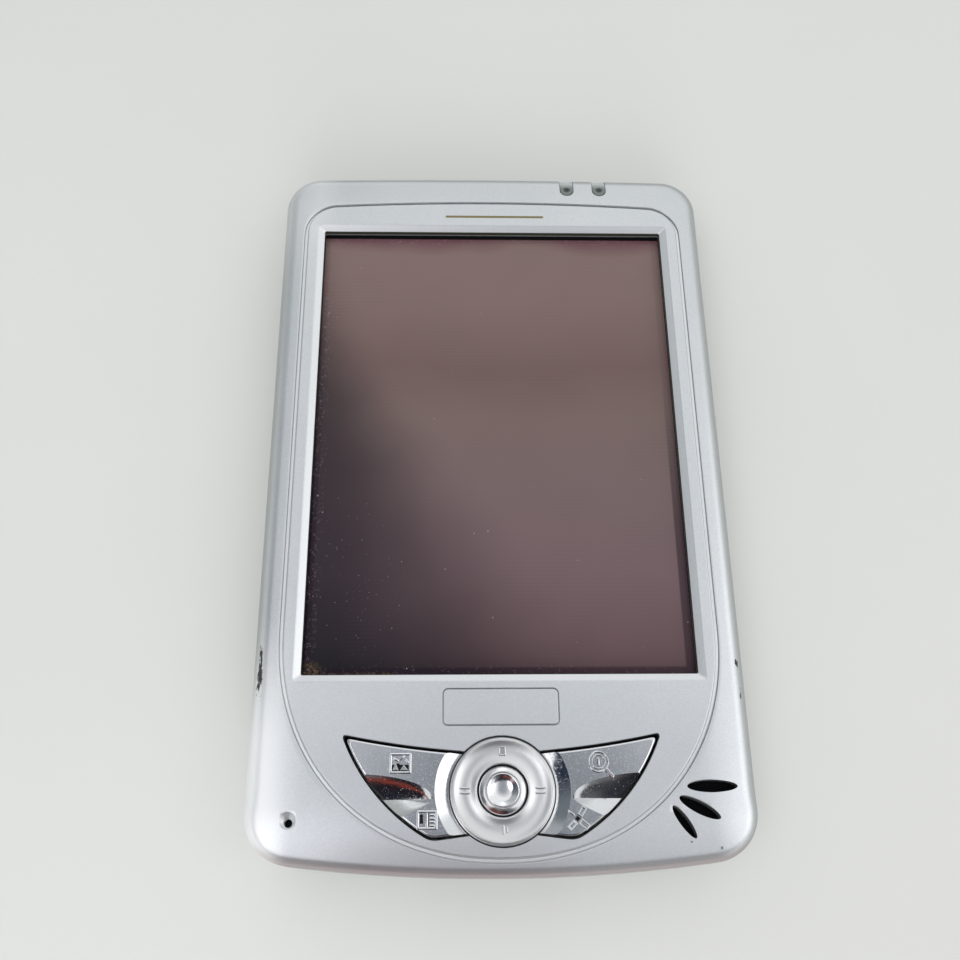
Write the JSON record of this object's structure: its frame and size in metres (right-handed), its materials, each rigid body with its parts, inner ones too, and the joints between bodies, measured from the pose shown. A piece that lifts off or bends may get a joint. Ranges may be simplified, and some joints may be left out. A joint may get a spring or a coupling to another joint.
{
  "type": "personal digital assistant",
  "caption": "Pocket-size handheld computer with a portrait touch screen, rocker keys, a navigation ring and a stylus.",
  "frame": {"origin": "under the middle of the case, on the surface that it lies on when the screen faces up", "axes": "+Z out of the screen, +Y towards the top edge with the card slot and stylus, +X towards the stylus side"},
  "size_m": [0.0696, 0.1128, 0.0149],
  "materials": {
    "silver_paint": "fine metallic silver paint on moulded plastic, satin",
    "back_paint": "silver-grey paint, satin",
    "chrome": "mirror-plated plastic",
    "dark_glass": "smooth, faint mauve",
    "black_foam": "matt",
    "lcd": "smooth",
    "white_plastic": "matt white",
    "steel": "brushed",
    "board": "green solder mask",
    "chip": "matt black",
    "battery_wrap": "shrink wrap",
    "black_plastic": "fine texture",
    "grey_plastic": "satin",
    "amber_film": "satin film",
    "silicone": "matt",
    "smoke_lens": "polished",
    "infrared_lens": "polished dark red",
    "label": "blank satin film"
  },
  "bodies": {
    "casing": {"front_shell": "silver_paint", "face_plate": "silver_paint", "name_plate": "silver_paint", "back_cover": "back_paint", "rating_label": "label", "case_screw_1": "steel", "case_screw_2": "steel", "case_screw_3": "steel", "case_screw_4": "steel", "touch_panel": "dark_glass", "screen_gasket": "black_foam", "lcd_panel": "lcd", "light_guide": "white_plastic", "lcd_tray": "steel", "display_flex": "amber_film", "main_board": "board", "processor_chip": "chip", "memory_chip_1": "chip", "memory_chip_2": "chip", "flash_chip": "chip", "audio_chip": "chip", "battery_pack": "battery_wrap", "backup_cell": "steel", "card_cage": "steel", "headphone_jack": "black_plastic", "sync_connector": "black_plastic", "infrared_window": "infrared_lens", "infrared_module": "black_plastic", "power_switch": "black_plastic", "record_switch": "black_plastic", "led_lens_left": "smoke_lens", "led_lens_right": "smoke_lens", "speaker": "steel", "speaker_mesh": "black_foam", "microphone": "steel", "microphone_boot": "black_foam", "key_board": "board", "key_mat": "silicone", "stylus_tube": "grey_plastic"},
    "left_rocker": {"left_key": "chrome"},
    "right_rocker": {"right_key": "chrome"},
    "nav_carrier": {"nav_base": "grey_plastic"},
    "nav_pad": {"nav_ring": "chrome"},
    "select": {"select_button": "chrome"},
    "power": {"power_button": "chrome"},
    "record": {"record_button": "chrome"},
    "card": {"memory_card": "black_plastic"},
    "stylus": {"stylus_tip": "black_plastic", "stylus_barrel": "grey_plastic", "stylus_cap": "silver_paint"}
  },
  "joints": [
    {"name": "left_key_rock", "type": "hinge", "parent": "casing", "child": "left_rocker", "pos_m": [-0.013, -0.046, 0.0116], "axis": [1, 0, 0], "range_deg": [-2.5, 2.5], "stiffness_Nm_per_rad": 0.1},
    {"name": "right_key_rock", "type": "hinge", "parent": "casing", "child": "right_rocker", "pos_m": [0.013, -0.046, 0.0116], "axis": [1, 0, 0], "range_deg": [-2.5, 2.5], "stiffness_Nm_per_rad": 0.1},
    {"name": "nav_up_down", "type": "hinge", "parent": "casing", "child": "nav_carrier", "pos_m": [0, -0.04545, 0.0113], "axis": [1, 0, 0], "range_deg": [-2.5, 2.5], "stiffness_Nm_per_rad": 0.1},
    {"name": "nav_left_right", "type": "hinge", "parent": "nav_carrier", "child": "nav_pad", "pos_m": [0, -0.04545, 0.0119], "axis": [0, 1, 0], "range_deg": [-2.5, 2.5], "stiffness_Nm_per_rad": 0.1},
    {"name": "select_press", "type": "slide", "parent": "casing", "child": "select", "axis": [0, 0, -1], "range_m": [0, 0.0004], "stiffness_N_per_m": 400},
    {"name": "power_press", "type": "slide", "parent": "casing", "child": "power", "axis": [0, -1, 0], "range_m": [0, 0.0005], "stiffness_N_per_m": 400},
    {"name": "record_press", "type": "slide", "parent": "casing", "child": "record", "axis": [1, 0, 0], "range_m": [0, 0.0004], "stiffness_N_per_m": 400},
    {"name": "card_slide", "type": "slide", "parent": "casing", "child": "card", "axis": [0, 1, 0], "range_m": [0, 0.036]},
    {"name": "stylus_slide", "type": "slide", "parent": "casing", "child": "stylus", "axis": [0, 1, 0], "range_m": [0, 0.11]}
  ]
}
